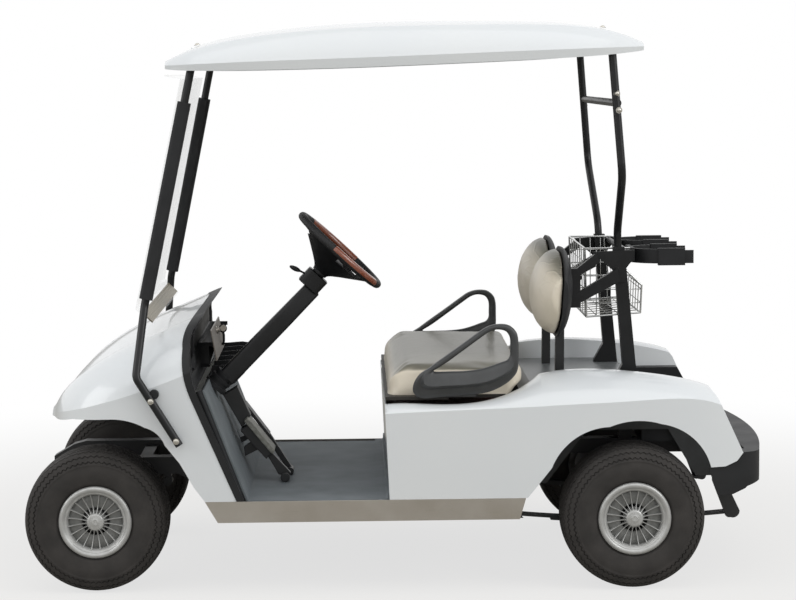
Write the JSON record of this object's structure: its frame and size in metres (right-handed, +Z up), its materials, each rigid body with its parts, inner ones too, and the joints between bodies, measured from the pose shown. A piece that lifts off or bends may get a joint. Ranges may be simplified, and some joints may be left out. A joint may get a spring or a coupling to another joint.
{
  "type": "electric golf cart",
  "caption": "Open electric golf cart with a bench seat, hip restraints, dished steering wheel, folding-lip windscreen, domed roof on struts, bag shelves and leaf-sprung axles.",
  "frame": {"origin": "on the ground, at the middle of the length and of the width", "axes": "+X forward, +Y to the left (driver's side), +Z up"},
  "size_m": [2.3619, 1.25, 1.7789],
  "materials": {
    "white_body": "moulded thermoplastic with clear coat",
    "black_plastic": "moulded, fine grain",
    "frame_steel": "welded tube, black powder coat",
    "strut_steel": "bent tube, satin black powder coat",
    "axle_iron": "cast, dull",
    "spring_steel": "leaf steel, black",
    "motor_steel": "painted",
    "tyre_rubber": "moulded rubber",
    "wheel_cover": "silver painted",
    "drum_iron": "cast",
    "sill_steel": "folded bright sheet",
    "mat_rubber": "ribbed rubber",
    "battery_case": "moulded",
    "seat_vinyl": "padded vinyl under clear film",
    "seat_wood": "painted board",
    "screen_clear": "clear acrylic sheet",
    "sleeve_rubber": "black rubber",
    "rim_grip": "padded rim",
    "basket_wire": "plated wire",
    "pedal_steel": "painted, textured pad",
    "steering_steel": "painted"
  },
  "bodies": {
    "chassis": {"accelerator_pedal": "pedal_steel", "backrest_pads": "seat_vinyl", "backrest_posts": "frame_steel", "backrest_shell": "black_plastic", "bag_holders": "black_plastic", "bag_rack": "strut_steel", "bag_well": "black_plastic", "basket": "basket_wire", "battery_pack": "battery_case", "brake_pedal": "pedal_steel", "column_boot": "sleeve_rubber", "cowl_edging": "black_plastic", "dash": "black_plastic", "dash_controls": "black_plastic", "deck_support": "frame_steel", "drive_motor": "motor_steel", "floor": "black_plastic", "floor_mat": "mat_rubber", "frame_cross_members": "frame_steel", "frame_edge_rails": "frame_steel", "frame_rails": "frame_steel", "front_axle": "axle_iron", "front_cowl": "white_body", "front_springs": "spring_steel", "front_struts": "strut_steel", "rear_axle": "axle_iron", "rear_body": "white_body", "rear_bumper": "black_plastic", "rear_deck": "black_plastic", "rear_liners": "black_plastic", "rear_springs": "spring_steel", "rear_struts": "strut_steel", "roof": "white_body", "seat_hinges": "frame_steel", "sills": "sill_steel", "spring_hangers": "frame_steel", "steering_column": "black_plastic", "steering_gear": "steering_steel", "windscreen": "screen_clear", "windscreen_sleeves": "sleeve_rubber"},
    "seat": {"seat_board": "seat_wood", "seat_cushion": "seat_vinyl", "hip_restraints": "black_plastic"},
    "steering_wheel": {"steering_rim": "rim_grip", "steering_hub": "black_plastic"},
    "knuckle_left": {"knuckle_left": "axle_iron"},
    "knuckle_right": {"knuckle_right": "axle_iron"},
    "tie_rod": {"tie_rod": "steering_steel"},
    "drag_link": {"drag_link": "steering_steel"},
    "wheel_front_left": {"tyre_front_left": "tyre_rubber", "wheel_front_left": "wheel_cover"},
    "wheel_front_right": {"tyre_front_right": "tyre_rubber", "wheel_front_right": "wheel_cover"},
    "wheel_rear_left": {"tyre_rear_left": "tyre_rubber", "wheel_rear_left": "wheel_cover", "brake_drum_rear_left": "drum_iron"},
    "wheel_rear_right": {"tyre_rear_right": "tyre_rubber", "wheel_rear_right": "wheel_cover", "brake_drum_rear_right": "drum_iron"}
  },
  "joints": [
    {"name": "steer_left", "type": "hinge", "parent": "chassis", "child": "knuckle_left", "pos_m": [0.955, 0.3, 0.226], "axis": [0, 0, 1], "range_deg": [-30, 30]},
    {"name": "steer_right", "type": "hinge", "parent": "chassis", "child": "knuckle_right", "pos_m": [0.955, -0.3, 0.226], "axis": [0, 0, 1], "range_deg": [-30, 30]},
    {"name": "steering_wheel_turn", "type": "hinge", "parent": "chassis", "child": "steering_wheel", "pos_m": [0.184, 0.27, 1.049], "axis": [-0.6834, 0, 0.7301], "range_deg": [-360, 360]},
    {"name": "tie_rod_swing", "type": "hinge", "parent": "knuckle_left", "child": "tie_rod", "pos_m": [0.825, 0.3, 0.146], "axis": [0, 0, 1], "range_deg": [-30, 30]},
    {"name": "drag_link_swing", "type": "hinge", "parent": "knuckle_left", "child": "drag_link", "pos_m": [0.825, 0.3, 0.201], "axis": [0, 0, 1], "range_deg": [-30, 30]},
    {"name": "wheel_front_left_roll", "type": "hinge", "parent": "knuckle_left", "child": "wheel_front_left", "pos_m": [0.955, 0.438, 0.226], "axis": [0, 1, 0], "continuous": true},
    {"name": "wheel_front_right_roll", "type": "hinge", "parent": "knuckle_right", "child": "wheel_front_right", "pos_m": [0.955, -0.438, 0.226], "axis": [0, 1, 0], "continuous": true},
    {"name": "wheel_rear_left_roll", "type": "hinge", "parent": "chassis", "child": "wheel_rear_left", "pos_m": [-0.725, 0.489, 0.226], "axis": [0, 1, 0], "continuous": true},
    {"name": "wheel_rear_right_roll", "type": "hinge", "parent": "chassis", "child": "wheel_rear_right", "pos_m": [-0.725, -0.489, 0.226], "axis": [0, 1, 0], "continuous": true},
    {"name": "seat_lift", "type": "hinge", "parent": "chassis", "child": "seat", "pos_m": [0.036, 0, 0.593], "axis": [0, 1, 0], "range_deg": [0, 55]}
  ],
  "couplings": [
    {"joint": "steer_right", "follows": "steer_left", "ratio": 1},
    {"joint": "steering_wheel_turn", "follows": "steer_left", "ratio": 12},
    {"joint": "tie_rod_swing", "follows": "steer_left", "ratio": -1},
    {"joint": "drag_link_swing", "follows": "steer_left", "ratio": -1}
  ]
}
